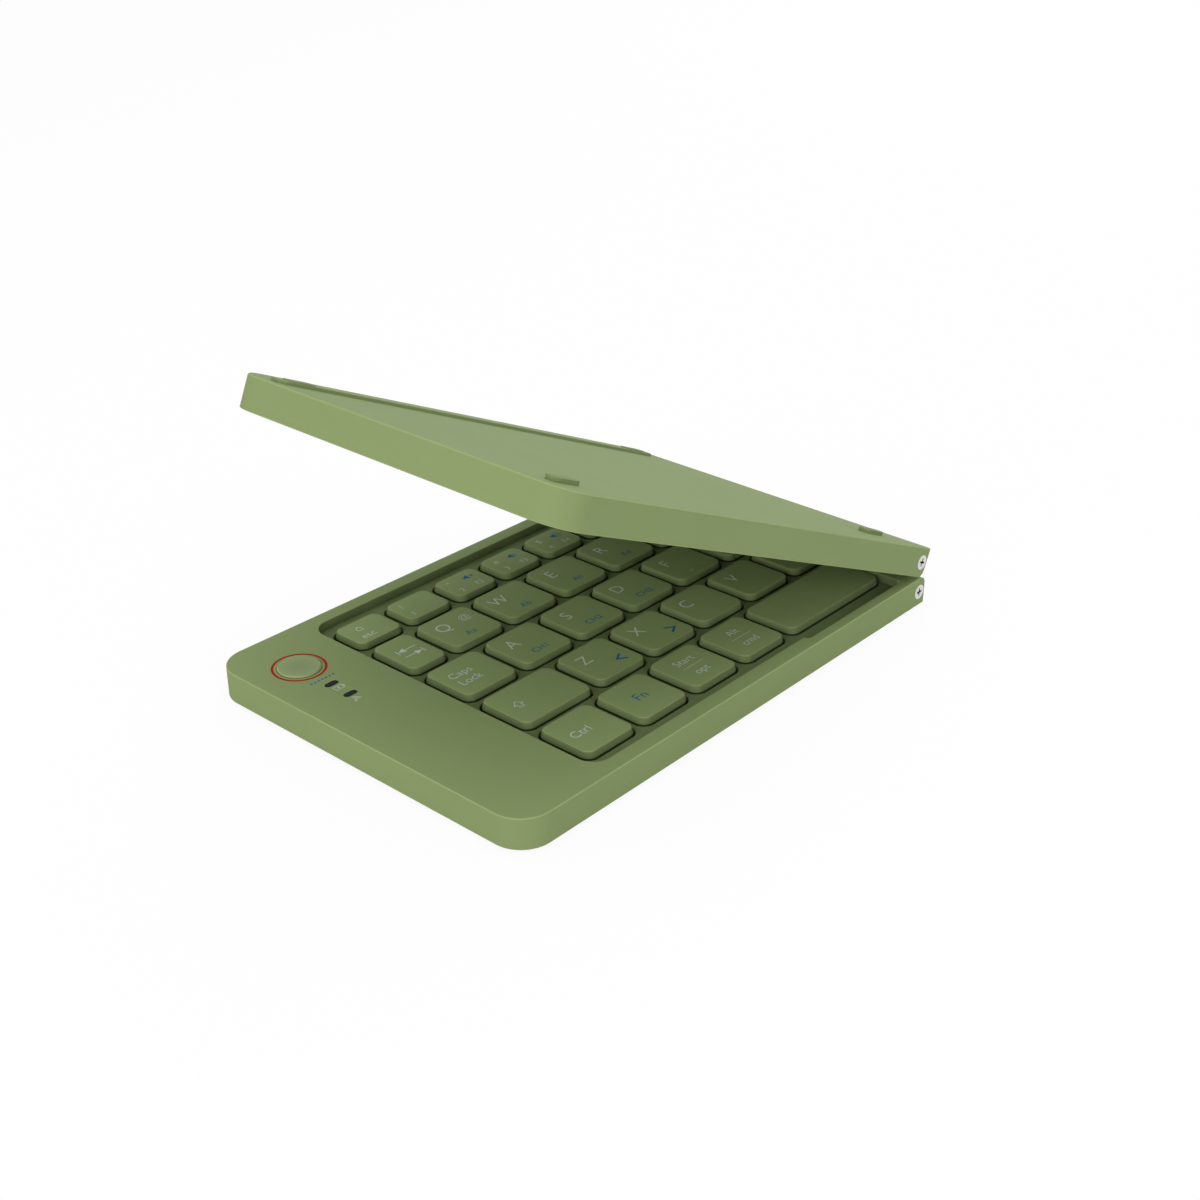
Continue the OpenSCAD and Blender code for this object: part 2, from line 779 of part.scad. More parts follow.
module lid_key_plate() {
    color(steel) on_lid() key_plate(lid_well_start);
}

module lid_dome_mat() {
    color(black) on_lid() dome_mat(lid_well_start, LID_KEYS);
}

module lid_scissors() {
    color([0.75, 0.75, 0.72]) on_lid() for (place = LID_KEYS) scissor(place);
}

module lid_foot_bar() {
    color(green) on_lid() foot_bar();
}

module lid_feet() {
    color(dark_green) on_lid() feet();
}

module lid_pivot_screws() {
    color(steel) on_lid() pivot_screws();
}

module lid_row(name) {
    row = search([name], LID_ROWS)[0];
    color(dark_green) on_lid() for (place = LID_PLACES[row]) cap(place);
}

// ---------- the part ----------

base_cover();
base_frame();
base_key_plate();
base_dome_mat();
base_scissors();
circuit_board();
battery();
charging_socket();
connect_button();
button_ring();
status_windows();
base_foot_bar();
base_feet();
base_pivot_screws();
hinge_link();
ribbon_cable();
lid_cover();
lid_frame();
lid_key_plate();
lid_dome_mat();
lid_scissors();
lid_foot_bar();
lid_feet();
lid_pivot_screws();
for (name = BASE_KEYS) base_key(name);
for (name = LID_ROWS) lid_row(name);
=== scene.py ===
# Folding keyboard: materials, key legends, small details, floor, light, camera.
import json
import math

import bmesh
import bpy
from mathutils import Matrix, Vector


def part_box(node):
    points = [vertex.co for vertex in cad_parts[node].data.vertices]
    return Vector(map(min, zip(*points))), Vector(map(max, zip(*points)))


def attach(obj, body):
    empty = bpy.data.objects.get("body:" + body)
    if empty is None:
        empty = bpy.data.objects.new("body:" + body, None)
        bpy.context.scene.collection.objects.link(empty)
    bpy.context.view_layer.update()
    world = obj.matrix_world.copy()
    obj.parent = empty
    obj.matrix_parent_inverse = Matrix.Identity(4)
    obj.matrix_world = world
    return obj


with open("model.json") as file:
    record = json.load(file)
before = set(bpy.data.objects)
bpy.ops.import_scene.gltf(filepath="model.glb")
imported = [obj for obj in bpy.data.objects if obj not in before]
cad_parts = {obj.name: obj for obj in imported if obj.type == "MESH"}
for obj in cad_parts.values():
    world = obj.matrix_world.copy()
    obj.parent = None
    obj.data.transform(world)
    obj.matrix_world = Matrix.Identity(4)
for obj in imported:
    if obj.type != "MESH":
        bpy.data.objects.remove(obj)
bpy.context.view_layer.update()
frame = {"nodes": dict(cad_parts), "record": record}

NODES = frame["nodes"]
MM = 0.001

# ---------- sizes of the part, in millimetres ----------
KEY_PITCH = 18.0
# Gap between the tops of neighbouring keys in a row, and how far a key's sides lean out
# from its top to its foot
KEY_GAP = 2.9
KEY_LEAN = 0.45
# Width of each half's field of keys in pitches, and the keys in the base's number row
BASE_COLUMNS = 6
LID_COLUMNS = 7
NUMBER_KEYS = 7
# Places of the button and the nearer status window, from the free end and the front
BUTTON_X, BUTTON_Y = 11.5, 78.3
WINDOW_Y, WINDOW_PITCH = 61.5, 6.1
# Width of the rims before and behind a well of keys, and the well's room beyond the tops
# of the first and last key
WELL_RIM = 3.8
WELL_ROOM_FIRST, WELL_ROOM_LAST = 3.2, 0.6
# Top of the web between the keys, below the top of the rim round them
WEB_DROP = 2.1
# Height of the hinge axis above its half's outer face
AXIS_UP = 3.7


def corners(node):
    """Lowest and highest corner of a node at rest, in millimetres."""
    low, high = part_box(node)
    return low / MM, high / MM


def about(x, y, z):
    """From millimetres about a point to the row frame in metres."""
    return Matrix.Scale(MM, 4) @ Matrix.Translation((x, y, z))


LOW, HIGH = corners("base_frame")
DEPTH = HIGH.y - LOW.y
JOINTS = {joint["name"]: joint for joint in frame["record"]["behaviour"]["joints"]}
BASE_AXIS = Vector(JOINTS["base_hinge"]["pos_m"]) / MM
LID_AXIS = Vector(JOINTS["lid_hinge"]["pos_m"]) / MM
OPEN = -math.radians(JOINTS["lid_hinge"]["range_deg"][0])
# Heights of the key tops, the rim and the web above a half's hinge axis
CAP_UP = corners("key_esc")[1].z - BASE_AXIS.z
RIM_UP = HIGH.z - BASE_AXIS.z
WEB_UP = RIM_UP - WEB_DROP
# Where the tops of the keys end along x, from the hinge axis, and the two wells of keys
KEYS_END = corners("key_left_space")[1].x - KEY_LEAN - BASE_AXIS.x
BASE_WELL, LID_WELL = [
    (KEYS_END + KEY_GAP - columns * KEY_PITCH - WELL_ROOM_FIRST, KEYS_END + WELL_ROOM_LAST)
    for columns in (BASE_COLUMNS, LID_COLUMNS)]

# From each half's own millimetres to the row frame in metres. A half's origin lies on
# its hinge axis at the front: x points to the hinge end, y to the back and z out of
# the side with the keys.
BASE_AT = about(BASE_AXIS.x, LOW.y, BASE_AXIS.z)
LID_AT = (
    about(LID_AXIS.x, LOW.y, LID_AXIS.z)
    @ Matrix.Rotation(OPEN, 4, "Y")
    @ Matrix.Diagonal((1, 1, -1, 1))
)


def new_object(name, data):
    ob = bpy.data.objects.new(name, data)
    bpy.context.collection.objects.link(ob)
    return ob


def new_mesh(name, bm):
    mesh = bpy.data.meshes.new(name)
    bm.to_mesh(mesh)
    bm.free()
    return mesh


# ---------- material tools ----------
# Most of a noise's values lie between these two
NOISE_LOW, NOISE_HIGH = 0.3, 0.7
NOISE_DETAIL = 3.0
DRIFT_ROUGHNESS, GRAIN_ROUGHNESS = 0.55, 0.6
GRAIN_HEIGHT = 0.03 * MM


def new_material(name):
    """An empty node material with one Principled shader on its output."""
    m = bpy.data.materials.new(name)
    m.use_nodes = True
    nt = m.node_tree
    nt.nodes.clear()
    out = nt.nodes.new("ShaderNodeOutputMaterial")
    bsdf = nt.nodes.new("ShaderNodeBsdfPrincipled")
    nt.links.new(bsdf.outputs[0], out.inputs[0])
    return m, nt, bsdf


def noise(nt, scale, rough, stretch=(1, 1, 1)):
    """Noise over the object's own coordinates, stretched along its axes."""
    place = nt.nodes.new("ShaderNodeTexCoord")
    mapping = nt.nodes.new("ShaderNodeMapping")
    mapping.inputs["Scale"].default_value = stretch
    n = nt.nodes.new("ShaderNodeTexNoise")
    n.inputs["Scale"].default_value = scale
    n.inputs["Detail"].default_value = NOISE_DETAIL
    n.inputs["Roughness"].default_value = rough
    nt.links.new(place.outputs["Object"], mapping.inputs["Vector"])
    nt.links.new(mapping.outputs["Vector"], n.inputs["Vector"])
    return n.outputs["Fac"]


def blend_colour(nt, source, low, high):
    """A colour that drifts from low to high with the noise."""
    r = nt.nodes.new("ShaderNodeValToRGB")
    ramp = r.color_ramp.elements
    for element, position, colour in zip(ramp, (NOISE_LOW, NOISE_HIGH), (low, high)):
        element.position = position
        element.color = (*colour, 1)
    nt.links.new(source, r.inputs["Fac"])
    return r.outputs["Color"]


def calculate(nt, operation, *values):
    """The result of a Math node. Each value is a number or another node's output."""
    n = nt.nodes.new("ShaderNodeMath")
    n.operation = operation
    for socket, value in zip(n.inputs, values):
        if isinstance(value, (int, float)):
            socket.default_value = value
        else:
            nt.links.new(value, socket)
    return n.outputs[0]


def product(nt, *sources):
    """Two or more outputs multiplied."""
    value = sources[0]
    for source in sources[1:]:
        value = calculate(nt, "MULTIPLY", value, source)
    return value


def span(nt, source, start, end, low, high):
    """A number that goes from low to high while the source goes from start to end."""
    r = nt.nodes.new("ShaderNodeMapRange")
    for name, value in (("From Min", start), ("From Max", end), ("To Min", low), ("To Max", high)):
        r.inputs[name].default_value = value
    nt.links.new(source, r.inputs["Value"])
    return r.outputs["Result"]


def band(nt, source, start, full, end, gone):
    """0 up to start, 1 from full to end, 0 from gone on, and a slope on either side."""
    return product(nt, span(nt, source, start, full, 0, 1), span(nt, source, end, gone, 1, 0))


def tone_in(nt, mask, tone):
    """The tone where the mask is 1, and 1 where the mask is 0."""
    return span(nt, mask, 0, 1, 1, tone)


def along(nt, kind, direction, offset=0.0):
    """How far the surface point, or how much its normal, lies along a direction of the row
    frame."""
    place = nt.nodes.new("ShaderNodeTexCoord")
    n = nt.nodes.new("ShaderNodeVectorMath")
    n.operation = "DOT_PRODUCT"
    n.inputs[1].default_value = direction
    nt.links.new(place.outputs[kind], n.inputs[0])
    return calculate(nt, "ADD", n.outputs["Value"], offset)


def in_half(nt, at):
    """The surface point in a half's millimetres, as three numbers, and how much it faces out
    of the key side, from -1 to 1."""
    out = (at.to_3x3() @ Vector((0, 0, 1))).normalized()
    place = [along(nt, "Object", row[:3], row[3]) for row in at.inverted()[:3]]
    return place + [along(nt, "Normal", out)]


# ---------- tones: painted shade and painted highlight, as numbers that a colour is multiplied by, from place to place ---
# Heights are in millimetres above the hinge axis. The numbers for facing say how much a
# surface faces out of the key side, from -1 to 1.
# Painted shade inside a well of keys
WELL_PAINTED_SHADE = 0.66
WELL_BLUR = 0.1
WELL_HEIGHTS = (WEB_UP - 0.4, WEB_UP - 0.2, RIM_UP - 0.3, RIM_UP - 0.02)
# Painted highlight along the rounded edges of a half's shell
EDGE_PAINTED_HIGHLIGHT = 1.22
EDGE_FACING = (0.15, 0.4, 0.88, 0.98)
BACK_EDGE_FACING = [-facing for facing in reversed(EDGE_FACING)]

# Painted shade on the keys' sides and a painted shadow line at their feet
KEY_SIDE_PAINTED_SHADE = 0.70
KEY_SIDE_FACING = (0.4, 0.62)
KEY_FOOT_PAINTED_SHADOW = 0.15
KEY_FOOT_HEIGHTS = (WEB_UP + 0.04, WEB_UP + 0.2)
# Painted highlight along the edge of each key's top
KEY_EDGE_PAINTED_HIGHLIGHT = 1.1
KEY_EDGE_FACING = (0.55, 0.75, 0.94, 0.99)

# Painted shade on the button's side and in its dish, and a painted highlight on its rim
BUTTON_SIDE_PAINTED_SHADE = 0.55
BUTTON_SIDE_FACING = (0.35, 0.6)
BUTTON_EDGE_PAINTED_HIGHLIGHT = 1.2
BUTTON_EDGE_FACING = (0.5, 0.7, 0.9, 0.97)
DISH_PAINTED_SHADE, DISH_RIM_PAINTED_HIGHLIGHT = 0.88, 1.04
DISH_HEIGHTS = (RIM_UP + 0.05, RIM_UP + 0.4)

# Painted shade in the recesses of the screw heads
SCREW_RECESS_PAINTED_SHADE = 0.12
# Depths below a screw head's face between which the painted shade fades out, in millimetres
SCREW_DEPTHS = (0.16, 0.06)


def body_painted_light(at, well):
    """Tone of a half's shell: painted shade inside the well of keys, and a painted highlight along
    its rounded edges.
    """
    def tone(nt):
        x, y, z, facing = in_half(nt, at)
        in_well = product(
            nt,
            band(nt, x, well[0] - WELL_BLUR, well[0], well[1], well[1] + WELL_BLUR),
            band(nt, y, WELL_RIM - WELL_BLUR, WELL_RIM, DEPTH - WELL_RIM,
                 DEPTH - WELL_RIM + WELL_BLUR),
            band(nt, z, *WELL_HEIGHTS))
        return product(
            nt,
            tone_in(nt, in_well, WELL_PAINTED_SHADE),
            tone_in(nt, band(nt, facing, *EDGE_FACING), EDGE_PAINTED_HIGHLIGHT),
            tone_in(nt, band(nt, facing, *BACK_EDGE_FACING), EDGE_PAINTED_HIGHLIGHT))
    return tone


def key_painted_light(at):
    """Tone of the keys: painted shade on their sides, a painted shadow line where a side enters
    its opening, and a painted highlight along the edge of the top."""
    def tone(nt):
        z, facing = in_half(nt, at)[2:]
        return product(
            nt,
            span(nt, facing, *KEY_SIDE_FACING, KEY_SIDE_PAINTED_SHADE, 1),
            span(nt, z, *KEY_FOOT_HEIGHTS, KEY_FOOT_PAINTED_SHADOW, 1),
            tone_in(nt, band(nt, facing, *KEY_EDGE_FACING), KEY_EDGE_PAINTED_HIGHLIGHT))
    return tone


def button_painted_light(nt):
    """Tone of the button: painted shade on its side in its hole, a painted highlight on its rim
    and painted shade deeper in its dish.
    """
    z, facing = in_half(nt, BASE_AT)[2:]
    return product(
        nt,
        span(nt, facing, *BUTTON_SIDE_FACING, BUTTON_SIDE_PAINTED_SHADE, 1),
        tone_in(nt, band(nt, facing, *BUTTON_EDGE_FACING), BUTTON_EDGE_PAINTED_HIGHLIGHT),
        span(nt, z, *DISH_HEIGHTS, DISH_PAINTED_SHADE, DISH_RIM_PAINTED_HIGHLIGHT))


def screw_painted_shade(nt):
    """Tone of the pivot screws: painted shade below the faces of their heads, which lie at the
    two ends of the part along y."""
    side = calculate(nt, "ABSOLUTE", along(nt, "Object", (0, 1, 0)))
    start, end = [(HIGH.y - depth) * MM for depth in SCREW_DEPTHS]
    return span(nt, side, start, end, SCREW_RECESS_PAINTED_SHADE, 1)


def bump(nt, bsdf, source, strength):
    b = nt.nodes.new("ShaderNodeBump")
    b.inputs["Strength"].default_value = strength
    b.inputs["Distance"].default_value = GRAIN_HEIGHT
    nt.links.new(source, b.inputs["Height"])
    nt.links.new(b.outputs["Normal"], bsdf.inputs["Normal"])


def shade(colour, factor):
    return tuple(min(1.0, c * factor) for c in colour)


def surface(name, colour, rough, spread=0.05, grain=5200, depth=0.2, metallic=0.0, drift=38,
            vary=0.04, stretch=(1, 1, 1), coat=0.0, specular=0.5, tone=None):
    """A moulded, printed or metal surface: slow colour drift, uneven gloss and fine grain.
    tone(nt) gives a number that the colour is multiplied by, from place to place: painted shade
    and painted highlight."""
    m, nt, bsdf = new_material(name)
    slow = noise(nt, drift, DRIFT_ROUGHNESS)
    fine = noise(nt, grain, GRAIN_ROUGHNESS, stretch)
    paint = blend_colour(nt, slow, shade(colour, 1 - vary), shade(colour, 1 + vary))
    # Painted shade and painted highlight, multiplied into the colour
    if tone:
        scale = nt.nodes.new("ShaderNodeVectorMath")
        scale.operation = "SCALE"
        nt.links.new(paint, scale.inputs[0])
        nt.links.new(tone(nt), scale.inputs["Scale"])
        paint = scale.outputs[0]
    gloss = span(nt, fine, NOISE_LOW, NOISE_HIGH, rough - spread, rough + spread)
    nt.links.new(paint, bsdf.inputs["Base Color"])
    nt.links.new(gloss, bsdf.inputs["Roughness"])
    bump(nt, bsdf, fine, depth)
    bsdf.inputs["Metallic"].default_value = metallic
    bsdf.inputs["Coat Weight"].default_value = coat
    bsdf.inputs["Specular IOR Level"].default_value = specular
    return m


# ---------- materials ----------
GREEN = (0.222, 0.284, 0.122)
KEY_GREEN = shade(GREEN, 1.09)
BUTTON_GREEN = shade(GREEN, 1.02)
FOOT_GREEN = shade(GREEN, 0.95)
PLASTIC = dict(rough=0.56, depth=0.22, vary=0.012, specular=0.03)
KEY_PLASTIC = dict(rough=0.58, grain=6500, depth=0.25, drift=60, vary=0.02, specular=0.04)
BRUSHED = dict(metallic=1.0, stretch=(1, 14, 1))
INK = dict(rough=0.6, vary=0.05, specular=0.04)
# Materials with a tone carry painted shade and painted highlight
# The numbers after a colour are rough, spread, grain, depth and metallic, as surface() has them
MAT = {
    "body": surface("green_plastic", GREEN, **PLASTIC),
    "base_body": surface("green_plastic_base", GREEN, tone=body_painted_light(BASE_AT, BASE_WELL),
                         **PLASTIC),
    "lid_body": surface("green_plastic_lid", GREEN, tone=body_painted_light(LID_AT, LID_WELL), **PLASTIC),
    "keys": surface("key_plastic", KEY_GREEN, tone=key_painted_light(BASE_AT), **KEY_PLASTIC),
    "lid_keys": surface("key_plastic_lid", KEY_GREEN, tone=key_painted_light(LID_AT), **KEY_PLASTIC),
    "button": surface("button_plastic", BUTTON_GREEN, 0.42, grain=6500, depth=0.12, drift=90,
                      specular=0.1, tone=button_painted_light),
    "plate": surface("plate_steel", (0.50, 0.51, 0.52), 0.36, 0.08, 1800, 0.3, **BRUSHED),
    "mat": surface("black_rubber", (0.010, 0.011, 0.009), 0.75, 0.08, 4200, 0.5, specular=0.25),
    "lever": surface("lever_plastic", (0.62, 0.62, 0.58), 0.45),
    "board": surface("board_mask", (0.02, 0.10, 0.045), 0.32, 0.06, 2500, 0.25, coat=0.3),
    "battery": surface("battery_foil", (0.58, 0.59, 0.60), 0.34, 0.1, 700, 0.6, 1.0),
    "socket": surface("socket_steel", (0.62, 0.62, 0.63), 0.25, 0.06, 2600, 0.3, **BRUSHED),
    "ring": surface("ring_red", (0.31, 0.014, 0.006), 0.5, depth=0.15, specular=0.03),
    "window": surface("smoked_window", (0.007, 0.009, 0.010), 0.28, 0.04, 900, 0.05,
                      specular=0.04),
    "foot": surface("foot_rubber", FOOT_GREEN, 0.72, 0.07, 4200, 0.5, specular=0.03),
    "chrome": surface("screw_chrome", (0.62, 0.62, 0.62), 0.18, 0.08, 2400, 0.35,
                      tone=screw_painted_shade, **BRUSHED),
    "ribbon": surface("ribbon_film", (0.34, 0.15, 0.035), 0.30, grain=900, coat=0.3),
    "white_ink": surface("white_ink", (0.55, 0.56, 0.53), **INK),
    "blue_ink": surface("blue_ink", (0.010, 0.125, 0.270), **INK),
}
# Which material a CAD node gets, by a word in its name: the first that fits counts, and
# the rest are body plastic
NODE_MATERIALS = (
    ("key_plate", "plate"), ("dome_mat", "mat"), ("scissors", "lever"),
    ("circuit_board", "board"), ("battery", "battery"), ("socket", "socket"),
    ("ring", "ring"), ("windows", "window"), ("feet", "foot"), ("screws", "chrome"),
    ("ribbon", "ribbon"), ("connect_button", "button"), ("lid_keys", "lid_keys"),
    ("key_", "keys"), ("base_", "base_body"), ("lid_", "lid_body"),
)
for name, node in NODES.items():
    found = [key for word, key in NODE_MATERIALS if word in name]
    node.data.materials.clear()
    node.data.materials.append(MAT[found[0] if found else "body"])

# ---------- softened edges on the CAD nodes, in millimetres ----------
KEY_EDGE_WIDTH = 0.06
EDGE_WIDTHS = {
    "base_frame": 0.10, "lid_frame": 0.10, "base_foot_bar": 0.2, "lid_foot_bar": 0.2,
    "base_feet": 0.08, "lid_feet": 0.08, "connect_button": 0.12, "hinge_link": 0.12,
    "base_pivot_screws": 0.10, "lid_pivot_screws": 0.10,
}
WELD_REACH = 0.002
SHARP_ANGLE = math.radians(32)
BEVEL_STEPS = 2
LARGE_FACE_WEIGHT = 80


def soften(node, width):
    """Weld the node's points, round its sharp edges and keep its large faces flat."""
    weld = node.modifiers.new("weld", "WELD")
    weld.merge_threshold = WELD_REACH * MM
    bevel = node.modifiers.new("edges", "BEVEL")
    bevel.width = width * MM
    bevel.segments = BEVEL_STEPS
    bevel.limit_method = "ANGLE"
    bevel.angle_limit = SHARP_ANGLE
    bevel.miter_outer = "MITER_ARC"
    smooth = node.modifiers.new("normals", "WEIGHTED_NORMAL")
    smooth.weight = LARGE_FACE_WEIGHT


for name, node in NODES.items():
    if name in EDGE_WIDTHS:
        soften(node, EDGE_WIDTHS[name])
    elif name.startswith(("key_", "lid_keys")):
        soften(node, KEY_EDGE_WIDTH)


# ---------- marks ----------
# A legend is a list of marks, placed in millimetres from the middle of a key's top:
# x to the right and y up, as the typist sees it. A mark is its points, its faces and
# its ink.
WHITE, BLUE, DARK = 0, 1, 2
INKS = ("white_ink", "blue_ink", "window")
# How far a letter's outline is moved at a font size of 1: below 0 is inwards
FONT_OFFSET = -0.006
FONT_STEPS = 4
# Least cosine of half a corner's turn that a mitre follows
MITRE_LIMIT = 0.35
glyph_shapes = {}


def glyph(text):
    """Points and faces of a line of text at a font size of 1, standing on y = 0 and
    starting at x = 0, and its width."""
    if text not in glyph_shapes:
        curve = bpy.data.curves.new("line", "FONT")
        curve.body = text
        curve.size = 1.0
        curve.offset = FONT_OFFSET
        curve.resolution_u = FONT_STEPS
        ob = new_object("line", curve)
        bpy.context.view_layer.update()
        shape = ob.evaluated_get(bpy.context.evaluated_depsgraph_get())
        mesh = bpy.data.meshes.new_from_object(shape)
        points = [(v.co.x, v.co.y) for v in mesh.vertices]
        faces = [list(p.vertices) for p in mesh.polygons]
        bpy.data.objects.remove(ob)
        bpy.data.curves.remove(curve)
        bpy.data.meshes.remove(mesh)
        left = min(x for x, _ in points)
        width = max(x for x, _ in points) - left
        glyph_shapes[text] = ([(x - left, y) for x, y in points], faces, width)
    return glyph_shapes[text]


def words(text, x, y, size, ink=WHITE, anchor="left"):
    """A line of text: x is its left end or its middle, and y is what it stands on."""
    points, faces, width = glyph(text)
    shift = {"left": 0.0, "mid": -width / 2}[anchor]
    return [(x + (px + shift) * size, y + py * size) for px, py in points], faces, ink


def line(points, width, ink=WHITE, closed=False):
    """A stroke of even width along a run of points, with flat ends and mitred corners."""
    n = len(points)
    left, right = [], []
    for i, (x, y) in enumerate(points):
        before = points[i - 1] if closed or i else points[i]
        after = points[(i + 1) % n] if closed or i < n - 1 else points[i]
        come = Vector((x - before[0], y - before[1]))
        leave = Vector((after[0] - x, after[1] - y))
        come = (come if come.length else leave).normalized()
        leave = (leave if leave.length else come).normalized()
        run = (come + leave).normalized()
        half = width / 2 / max(MITRE_LIMIT, leave.dot(run))
        left.append((x - run.y * half, y + run.x * half))
        right.append((x + run.y * half, y - run.x * half))
    last = n if closed else n - 1
    faces = [[i, (i + 1) % n, n + (i + 1) % n, n + i] for i in range(last)]
    return left + right, faces, ink


def patch(points, ink=WHITE):
    """A filled outline."""
    return list(points), [list(range(len(points)))], ink


def arc(cx, cy, r, start, end, steps=12):
    angles = [math.radians(start + (end - start) * i / steps) for i in range(steps + 1)]
    return [(cx + r * math.cos(a), cy + r * math.sin(a)) for a in angles]


def dot(x, y, r, ink=WHITE):
    """A round dot, drawn with eleven corners."""
    return patch(arc(x, y, r, 0, 330, 10), ink)


def turned(mark, x, y, degrees=0, k=1.0):
    """A mark drawn about (0, 0), turned, scaled by k and moved to (x, y)."""
    points, faces, ink = mark
    c, s = math.cos(math.radians(degrees)), math.sin(math.radians(degrees))
    places = [(x + k * (px * c - py * s), y + k * (px * s + py * c)) for px, py in points]
    return places, faces, ink


# ---------- icons, drawn in millimetres ----------
ARROW_STROKE = 0.24
OUTLINE_STROKE = 0.2
CHEVRON_STROKE = 0.52
HOUSE_STROKE = 0.18
SHIFT_SCALE = 1.05
TAB_ARROW_UP = 1.35
CHEVRON_PLACE = (3.3, -2.9)
WAVE_RADIUS, WAVE_STEP, WAVE_ANGLE = 0.9, 0.65, 48


def tab_marks(x, y):
    """Two arrows, each against a bar, one above the other."""
    marks = []
    for turn, up in ((180, TAB_ARROW_UP), (0, -TAB_ARROW_UP)):
        shaft = line([(-2.7, 0), (0.6, 0)], ARROW_STROKE)
        bar = line([(2.6, -0.95), (2.6, 0.95)], ARROW_STROKE)
        head = patch([(0.5, -0.9), (2.3, 0), (0.5, 0.9)])
        marks += [turned(mark, x, y + up, turn) for mark in (shaft, bar, head)]
    return marks


def shift_mark(x, y):
    """The outline of a broad arrow that points up."""
    outline = [(-0.55, -1.1), (0.55, -1.1), (0.55, -0.1), (1.25, -0.1), (0, 1.25),
               (-1.25, -0.1), (-0.55, -0.1)]
    return [turned(line(outline, OUTLINE_STROKE, closed=True), x, y, 0, SHIFT_SCALE)]


def chevron(degrees):
    """A blue chevron at the lower right, pointing up before its turn."""
    mark = line([(-1.3, -1.15), (0, 1.15), (1.3, -1.15)], CHEVRON_STROKE, BLUE)
    return [turned(mark, *CHEVRON_PLACE, degrees)]


def arrow(degrees):
    """An arrow that points right before its turn."""
    shaft = line([(-1.3, 0), (0.9, 0)], ARROW_STROKE)
    head = line([(0.15, 0.85), (1.2, 0), (0.15, -0.85)], ARROW_STROKE)
    return [turned(mark, 0, 0, degrees) for mark in (shaft, head)]


def return_mark():
    """An arrow that comes down and turns left."""
    return [line([(1.6, 1.1), (1.6, -0.3), (-1.3, -0.3)], ARROW_STROKE),
            line([(-0.5, 0.5), (-1.5, -0.3), (-0.5, -1.1)], ARROW_STROKE)]


def rub_mark():
    """A pointed outline with a cross in it."""
    outline = [(-1.9, 0), (-0.9, 1.05), (1.7, 1.05), (1.7, -1.05), (-0.9, -1.05)]
    cross = [line([(-0.3, -0.45 * s), (0.7, 0.45 * s)], OUTLINE_STROKE) for s in (1, -1)]
    return [line(outline, OUTLINE_STROKE, closed=True)] + cross


def speaker(waves):
    """A blue loudspeaker with sound waves, or with a cross where it has none."""
    marks = [patch([(-1.6, -0.45), (-0.9, -0.45), (-0.1, -1.15), (-0.1, 1.15), (-0.9, 0.45),
                    (-1.6, 0.45)], BLUE)]
    for i in range(waves):
        wave = arc(-0.3, 0, WAVE_RADIUS + i * WAVE_STEP, -WAVE_ANGLE, WAVE_ANGLE, 6)
        marks.append(line(wave, ARROW_STROKE, BLUE))
    if not waves:
        marks += [line([(0.4, -0.55 * s), (1.5, 0.55 * s)], ARROW_STROKE, BLUE) for s in (1, -1)]
    return marks


def skip_mark(degrees):
    """Two blue triangles and a bar, pointing right before their turn."""
    marks = [patch([(x, -0.8), (x + 1.2, 0), (x, 0.8)], BLUE) for x in (-1.4, -0.2)]
    marks.append(line([(1.15, -0.8), (1.15, 0.8)], ARROW_STROKE, BLUE))
    return [turned(mark, 0, 0, degrees) for mark in marks]


def house_mark():
    """The outline of a small house at the upper left."""
    outline = [(-2.4, 0.5), (-1.0, 0.5), (-1.0, 1.4), (-1.7, 2.2), (-2.4, 1.4)]
    return line(outline, HOUSE_STROKE, closed=True)


# ---------- legends ----------
# Places and sizes in millimetres. A mark's y is that of the line it stands on, and IN is
# the way in from the left or right edge of a key's top.
LETTER_IN, LETTER_Y, LETTER_SIZE = 4.3, 0.4, 4.9
SECOND_X, SECOND_Y, SECOND_SIZE = -0.1, -4.6, 2.7
CORNER_IN, CORNER_Y, CORNER_SIZE = 3.9, 1.4, 3.1
# Widths of the keys' tops: the usual one, and those of the lower row, of T and of B
TOP_WIDTH = KEY_PITCH - KEY_GAP
LOWER_ROW_WIDTH = 14.9
T_WIDTH, B_WIDTH = 20.0, 10.7

NUMBER_X, NUMBER_LOW, NUMBER_HIGH, NUMBER_SIZE = -3.75, -3.3, 1.0, 2.5
FUNCTION_X, FUNCTION_SIZE = 2.4, 2.4
ICON_PLACE = (2.5, 1.5)

PAIR_X, PAIR_HIGH, PAIR_LOW, PAIR_SIZE = -0.1, 1.6, -3.6, 3.1
PAIR_RULE, PAIR_RULE_STROKE = ((-3.4, 0.0), (3.5, 0.0)), 0.13


def letter(c, second=None, corner=None, width=TOP_WIDTH):
    """The letter at the upper left, a blue mark low in the middle and a white one at the
    upper right."""
    marks = [words(c, LETTER_IN - width / 2, LETTER_Y, LETTER_SIZE, WHITE, "mid")]
    if second:
        marks.append(words(second, SECOND_X, SECOND_Y, SECOND_SIZE, BLUE, "mid"))
    if corner:
        marks.append(words(corner, width / 2 - CORNER_IN, CORNER_Y, CORNER_SIZE, WHITE, "mid"))
    return marks


def number(c, upper, low="", icon=()):
    """The number at the lower left, another sign above it, a word at the lower right and an
    icon above that."""
    marks = [words(c, NUMBER_X, NUMBER_LOW, NUMBER_SIZE),
             words(upper, NUMBER_X, NUMBER_HIGH, NUMBER_SIZE)]
    if low:
        marks.append(words(low, FUNCTION_X, NUMBER_LOW, FUNCTION_SIZE, WHITE, "mid"))
    return marks + [turned(mark, *ICON_PLACE) for mark in icon]


def two_words(top, low):
    """Two words with a fine line between them."""
    return [words(top, PAIR_X, PAIR_HIGH, PAIR_SIZE, WHITE, "mid"),
            line(PAIR_RULE, PAIR_RULE_STROKE),
            words(low, PAIR_X, PAIR_LOW, PAIR_SIZE, WHITE, "mid")]


